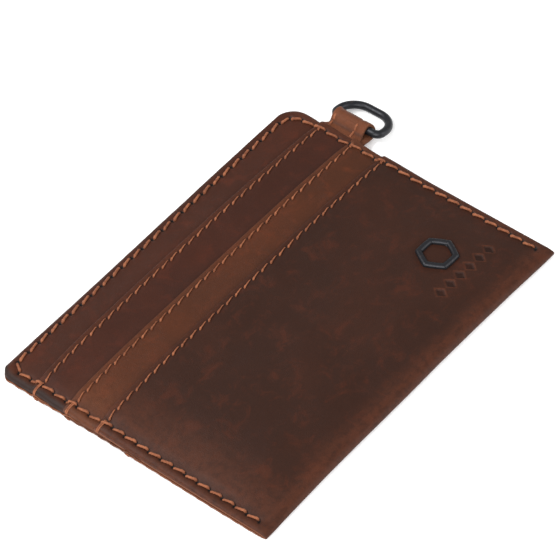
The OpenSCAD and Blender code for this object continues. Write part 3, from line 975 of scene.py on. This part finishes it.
BACK_SUNK = 0.26
perimeter = row_of_stitches(PERIMETER, False, 0.32, 0.30, 0.35, 101, 0.05)
perimeter += row_of_stitches(PERIMETER, True, 0.26, -0.28, 0.35, 102, BACK_SUNK)
seam_piece("perimeter_stitching", "perimeter_thread", perimeter)
MOUTH_NODES = ("upper", "middle", "outer")
LEAVES = (("front", False, FRONT_ROWS, FRONT_MOUTHS), ("back", True, BACK_ROWS, BACK_MOUTHS))
for leaf, is_back, rows, mouths in LEAVES:
    sunk = BACK_SUNK if is_back else 0.0
    for index, (row, mouth, place) in enumerate(zip(rows, mouths, MOUTH_NODES)):
        made = row_of_stitches(row, is_back, 0.19, 0.31, 1.0, 110 + index + 10 * is_back, sunk)
        for is_left in (True, False):
            seed = 140 + index + 5 * is_left + 10 * is_back
            made += edge_wrap(mouth - MOUTH_INSET, is_left, is_back, seed)
        seam_piece(f"{leaf}_{place}_stitching", f"{leaf}_{place}_thread", made)


def floor_stitches(node, shares):
    low, high = box_mm(node)
    rows = (low[1] - FOLD + 0.3, high[1] - FOLD - 0.3)
    tubes = []
    for v, share in zip(rows, shares):
        row = straight_row(SEAM_INSET + 1, v, W - SEAM_INSET - 1, v, MOUTH_PITCH)

        def height(uu, vv, share=share):
            floor, roof = gap_between(uu, vv)
            return mix(floor, np.maximum(roof, floor + 0.02), share)

        for start, end in zip(row, row[1:]):
            tubes.append(stitch(start, end, height, 1, 0.13, 0.1, 0.0))
    return tubes


seam_piece("front_floor_stitching", "front_floor_thread", floor_stitches("front_floor_thread", (0.90, 0.76)))
seam_piece("back_floor_stitching", "back_floor_thread", floor_stitches("back_floor_thread", (0.10, 0.24)))


# ---- ring and tab

WIRE_R = 1.0
RING_LEN = RING_HIGH[1] - RING_LOW[1] - 2 * WIRE_R
RING_REACH = RING_HIGH[0] - WIRE_R - BAR[0]
RING_REST = math.atan2(BAR[2] - WIRE_R, RING_REACH)
RING_DEPTH = RING_REACH / math.cos(RING_REST)
FAR_R, NEAR_R = 5.0, 1.5


def ring_path():
    """The D's centre line in its own plane: x away from the bar, y along it."""
    half = RING_LEN / 2
    corners = (
        (NEAR_R, NEAR_R - half, NEAR_R, 180, 270),
        (RING_DEPTH - FAR_R, FAR_R - half, FAR_R, 270, 360),
        (RING_DEPTH - FAR_R, half - FAR_R, FAR_R, 0, 90),
        (NEAR_R, half - NEAR_R, NEAR_R, 90, 180),
    )
    points = []
    for cx, cy, r, a0, a1 in corners:
        for a in np.radians(np.linspace(a0, a1, 15)):
            points.append((cx + r * math.cos(a), cy + r * math.sin(a)))
    dense = []
    for (x0, y0), (x1, y1) in zip(points, points[1:] + points[:1]):
        count = max(1, round(math.hypot(x1 - x0, y1 - y0) / 0.45))
        dense += [(mix(x0, x1, i / count), mix(y0, y1, i / count)) for i in range(count)]
    return np.array(dense)


def ring_piece():
    flat = ring_path()
    n, sides = len(flat), 28
    ahead = np.roll(flat, -1, axis=0) - np.roll(flat, 1, axis=0)
    ahead /= np.linalg.norm(ahead, axis=1, keepdims=True)
    out = np.stack([ahead[:, 1], -ahead[:, 0]], axis=1)
    a = np.linspace(0, 2 * math.pi, sides, endpoint=False)
    points = np.zeros((n, sides, 3))
    points[..., 0] = flat[:, None, 0] + WIRE_R * np.cos(a) * out[:, None, 0]
    points[..., 1] = flat[:, None, 1] + WIRE_R * np.cos(a) * out[:, None, 1]
    points[..., 2] = WIRE_R * np.sin(a)
    tilt = Matrix.Rotation(RING_REST, 3, "Y")
    turned = points.reshape(-1, 3) @ np.array(tilt).T + BAR
    return new_object("ring_wire", (turned * MM).tolist(), faces_between(n, sides, True), BLACK)


put(ring_piece(), "ring", "black_metal", "d_ring")


TAB_MID = (TAB_LOW[1] + TAB_HIGH[1]) / 2
TAB_HALF = (TAB_HIGH[1] - TAB_LOW[1]) / 2
TAB_THICK = 0.74
TAB_SKEW = 1.35
TAB_ROWS = (TAB_MID + TAB_SKEW - 2.75, TAB_MID + TAB_SKEW + 3.65)
EDGE_X = W + LEFT
LOOP_R = TAB_HIGH[0] - BAR[0]
SEAM_Z = 2.0


def tab_line():
    """Section of the tab's outer face in X and Z: from the lower end, round the bar, to the upper end."""
    hold = TAB_LOW[0] + 0.4
    line = [(hold, SEAM_Z - 0.48), (EDGE_X - 0.6, SEAM_Z - 0.50), (EDGE_X + 0.5, SEAM_Z - 0.62)]
    line.append((EDGE_X + 1.5, SEAM_Z - 0.75))
    for a in np.radians(np.linspace(246, 460, 30)):
        line.append((BAR[0] + LOOP_R * math.cos(a), BAR[2] + LOOP_R * math.sin(a)))
    line += [(EDGE_X + 3.15, BAR[2] + 1.42), (EDGE_X + 2.35, BAR[2] + 0.72), (EDGE_X + 1.95, BAR[2] + 0.22)]
    line += [(EDGE_X + 1.35, BAR[2] + 0.14), (EDGE_X + 0.45, BAR[2] + 0.24)]
    line += [(EDGE_X - 0.6, SEAM_Z + 0.50), (hold, SEAM_Z + 0.48)]
    return line


def resample(line, step):
    line = np.array(line)
    gone = np.concatenate([[0], np.cumsum(np.linalg.norm(np.diff(line, axis=0), axis=1))])
    at = np.linspace(0, gone[-1], int(gone[-1] / step))
    return np.stack([np.interp(at, gone, line[:, 0]), np.interp(at, gone, line[:, 1])], axis=1)


def tab_sections():
    """The tab's outer line, the way inwards from it, and its thickness, at even steps."""
    line = resample(tab_line(), 0.2)
    for _ in range(3):
        line[1:-1] = (line[:-2] + 2 * line[1:-1] + line[2:]) / 4
    ahead = np.gradient(line, axis=0)
    ahead /= np.linalg.norm(ahead, axis=1, keepdims=True)
    inward = np.stack([-ahead[:, 1], ahead[:, 0]], axis=1)
    thick = mix(TAB_THICK, 0.44, smooth((EDGE_X + 1.2 - line[:, 0]) / 1.6))
    return line, inward, thick


def tab_spread(line):
    """Where the tab's two side edges are, in Y, along its line: it leans, and flares at the wallet."""
    along_it = np.linspace(0, 1, len(line))
    leaned = TAB_SKEW * smooth((along_it - 0.30) / 0.32) * mix(1.0, 0.35, smooth((along_it - 0.80) / 0.14))
    over = smooth((along_it - 0.46) / 0.12) * (1 - smooth((along_it - 0.86) / 0.10))
    flare = 0.85 * np.exp(-(((line[:, 0] - EDGE_X) / 1.3) ** 2)) * smooth((along_it - 0.6) / 0.1)
    low = TAB_MID - TAB_HALF + leaned - flare + 0.25 * over
    high = TAB_MID + TAB_HALF + leaned * mix(0.25, 1.0, over) + 0.4 * flare
    clear_of_wire = RING_HIGH[1] - 2 * WIRE_R - 0.06
    swept = smooth((line[:, 0] - EDGE_X - 0.4) / 1.2)
    high = mix(high, np.minimum(high, clear_of_wire), swept)
    return low, high


def tab_piece():
    line, inward, thick = tab_sections()
    low, high = tab_spread(line)
    s = np.unique(np.concatenate([np.linspace(0, 1, 46), [0.003, 0.008, 0.018, 0.982, 0.992, 0.997]]))
    y = mix(low[:, None], high[:, None], s[None, :])
    x = np.repeat(line[:, :1], len(s), axis=1)
    z = np.repeat(line[:, 1:], len(s), axis=1)
    d = np.minimum(y - low[:, None], high[:, None] - y)
    rim = edge_round(d)
    opened = 0.30 * np.exp(-(((high[:, None] - y) / 1.1) ** 2)) * smooth((x - BAR[0] + 3) / 2)
    uneven = 0.04 * soft_noise(x * 3, y, 2.2, 301) + 0.05 * soft_noise(x, y, 3.1, 305)
    groove = np.zeros_like(x)
    for row in TAB_ROWS:
        groove = np.maximum(groove, 0.16 * np.exp(-(((y - row) / 0.45) ** 2)))
    ix, iz = inward[:, :1], inward[:, 1:]
    push = rim - uneven + groove * (x > EDGE_X + 0.5) - opened
    outer = np.stack([x + ix * push, y, z + iz * push], axis=-1) * MM
    deep = thick[:, None] - opened
    inner = np.stack([x + ix * deep, y, z + iz * deep], axis=-1) * MM
    wear_and_highlight = np.clip(0.15 + 0.45 * np.exp(-((d / 0.6) ** 2)) + 1.2 * groove, 0, 1)
    # painted shade along the crease in the tab's upper strand, a little outside the wallet's edge
    painted_crease_shade = np.exp(-(((line[:, 0] - EDGE_X - 1.85) / 0.45) ** 2)) * (line[:, 1] > BAR[2])
    marks = {"shaded_pit": np.zeros_like(x), "wear_and_highlight": wear_and_highlight, "dark": 0.45 * painted_crease_shade[:, None] * np.ones_like(x)}
    return sheet_piece("ring_tab_leather", outer, inner, TAB, marks)


put(tab_piece(), "wallet", "leather_tab", "ring_tab")


def tab_stitches():
    """Two short rows: each has a stitch down the loop's flank and one across the flat base."""
    line, inward, _ = tab_sections()
    start = np.argmax(line[:, 1])
    gone = np.concatenate([[0], np.cumsum(np.linalg.norm(np.diff(line[start:], axis=0), axis=1))])
    tubes = []
    for row in TAB_ROWS:
        for first, last in ((0.7, 2.6), (2.9, 4.6)):
            steps = np.linspace(0, 1, 13)
            at = mix(first, last, steps)
            x, z = np.interp(at, gone, line[start:, 0]), np.interp(at, gone, line[start:, 1])
            ix, iz = np.interp(at, gone, inward[start:, 0]), np.interp(at, gone, inward[start:, 1])
            lie = mix(0.45, 0.04, np.sin(math.pi * steps) ** 0.5)
            lean = 0.22 * (0.5 - steps)
            path = np.stack([x + ix * lie - LEFT, row - FOLD + lean, z + iz * lie], axis=1)
            tubes.append(tube(path, np.full(13, 0.24) * (1 + 0.2 * steps), twist=PLY_TWIST))
        under = np.linspace(0, 1, 9)
        z = SEAM_Z - 0.66 + mix(0.3, -0.02, np.sin(math.pi * under) ** 0.5)
        path = np.stack([mix(W + 0.3, W + 2.0, under), np.full(9, row - FOLD), z], axis=1)
        tubes.append(tube(path, np.full(9, 0.24), twist=PLY_TWIST))
    return tubes


seam_piece("tab_stitching", "tab_thread", tab_stitches())


# ---- badge

BADGE_RISE = 0.95


def hex_ring(radius, rim, round_r):
    """Angles, and the outer and inner radius at each, of a rounded hexagon ring."""
    angles = np.linspace(0, 2 * math.pi, 96, endpoint=False)
    sector = (angles + math.pi / 6) % (math.pi / 3) - math.pi / 6
    flat = math.cos(math.pi / 6)
    reach = flat / np.cos(np.abs(np.abs(sector) - math.pi / 6))
    corner = mix(reach, np.full_like(reach, (reach.max() + reach.min()) / 2 * 0.99), round_r)
    return angles, corner * radius, np.maximum(corner * (radius - rim / flat), 0.5)


def badge_seat():
    """Height of the front panel at the badge's centre, and its slopes along u and v there."""

    def height(du, dv):
        return float(front_height(3, np.array(BADGE_U + du), np.array(BADGE_V + dv)))

    return height(0, 0), (height(3, 0) - height(-3, 0)) / 6, (height(0, 3) - height(0, -3)) / 6


SEAT, SLOPE_U, SLOPE_V = badge_seat()


def on_badge(radii, angles, above):
    """Points round the badge's centre, at a height above the panel's slope there."""
    u, v = radii * np.cos(angles), radii * np.sin(angles)
    z = SEAT + above + SLOPE_U * u + SLOPE_V * v
    return np.stack([BADGE_U + u, BADGE_V + v, z], axis=1)


def badge_piece():
    angles, outer_r, inner_r = hex_ring(BADGE_R, 1.55, 0.18)
    rings = []
    for p in np.linspace(0, math.pi, 13):
        r = mix(outer_r, inner_r, (1 - math.cos(p)) / 2)
        rings.append(on_badge(r, angles, BADGE_RISE * math.sin(p) ** 0.7 - 0.18))
    rings += [rings[-1] - [0, 0, 0.35], rings[0] - [0, 0, 0.35]]
    parts = [(np.concatenate(rings), faces_between(len(rings), len(angles), True))]
    for side in (-1, 1):
        u = BADGE_U + side * (BADGE_R - 0.9) * 0.86
        path = [[u, BADGE_V, SEAT - drop] for drop in (1.25, 0.6, 0.0)]
        parts.append(tube(path, [0.48, 0.5, 0.5], sides=14, lobe=0.0))
    return joined_piece("badge_plate", parts, BLACK)


put(badge_piece(), "wallet", "black_metal", "badge")


def washer_piece():
    angles = np.linspace(0, 2 * math.pi, 48, endpoint=False)
    r = BADGE_R * 0.9
    top = on_badge(r, angles, -1.28)
    bevel_in = np.column_stack([on_badge(r - 0.08, angles, 0)[:, :2], top[:, 2] + 0.05])
    points = np.concatenate([bevel_in, top, top - [0, 0, 0.14]])
    m = len(angles)
    faces = [tuple(range(m)), tuple(range(3 * m - 1, 2 * m - 1, -1))]
    return joined_piece("badge_backing", [(points, faces + faces_between(3, m))], STEEL)


put(washer_piece(), "wallet", "washer_steel", "badge_washer")


# ---- floor, lights, camera


def stage_floor():
    n = Nodes("pale_floor")
    tone = n.noise(40, 3, 0.5)
    n.colour(n.blend((0.90, 0.90, 0.90), (0.92, 0.92, 0.92), tone))
    n.rough(n.ranged(tone, 0.3, 0.7, 0.9, 0.95))
    n.shade("Emission Color", (1, 1, 1, 1))
    n.shade("Emission Strength", 0.22)
    size = 1.6
    corners = [(-size, -size, 0), (size, -size, 0), (size, size, 0), (-size, size, 0)]
    floor = new_object("floor", corners, [(0, 1, 2, 3)], n.material)
    floor.location.z = -0.0001


def softbox(name, direction, distance, size, power):
    lamp = bpy.data.lights.new(name, "AREA")
    lamp.shape = "RECTANGLE"
    lamp.size, lamp.size_y = size
    lamp.energy = power
    holder = bpy.data.objects.new(name, lamp)
    way = Vector(direction).normalized()
    holder.location = way * distance
    holder.rotation_euler = (-way).to_track_quat("-Z", "Y").to_euler()
    bpy.context.scene.collection.objects.link(holder)


def sky():
    space = bpy.data.worlds.new("studio")
    bpy.context.scene.world = space
    space.use_nodes = True
    glow = space.node_tree.nodes["Background"]
    glow.inputs["Color"].default_value = (1.0, 1.0, 1.0, 1.0)
    glow.inputs["Strength"].default_value = 0.50


# Where the camera stands: angles in degrees, lengths in metres.
CAMERA_AZIMUTH, CAMERA_ELEVATION, CAMERA_ROLL = -44.84, 47.49, -7.06
CAMERA_DISTANCE, CAMERA_LENS = 0.8627, 244.3
AIM = Vector((0.00704, 0.00505, 0.0025))


def stand_camera():
    lens = bpy.data.cameras.new("camera")
    lens.lens = CAMERA_LENS
    lens.sensor_width = 36
    camera = bpy.data.objects.new("camera", lens)
    bpy.context.scene.collection.objects.link(camera)
    a, e = math.radians(CAMERA_AZIMUTH), math.radians(CAMERA_ELEVATION)
    back = Vector((math.sin(a) * math.cos(e), -math.cos(a) * math.cos(e), math.sin(e)))
    camera.location = AIM + back * CAMERA_DISTANCE
    upright = (-back).to_track_quat("-Z", "Y").to_matrix().to_4x4()
    turned = upright @ Matrix.Rotation(math.radians(CAMERA_ROLL), 4, "Z")
    camera.matrix_world = Matrix.Translation(camera.location) @ turned
    bpy.context.scene.camera = camera


stage_floor()
sky()
softbox("key", (-0.35, 0.50, 0.80), 1.0, (0.55, 0.55), 7.2)
softbox("left", (-0.80, -0.45, 0.65), 0.9, (0.7, 0.7), 7.6)
softbox("front", (0.55, -0.85, 0.5), 1.1, (0.8, 0.8), 5.2)
stand_camera()
bpy.context.scene.view_settings.view_transform = "Standard"
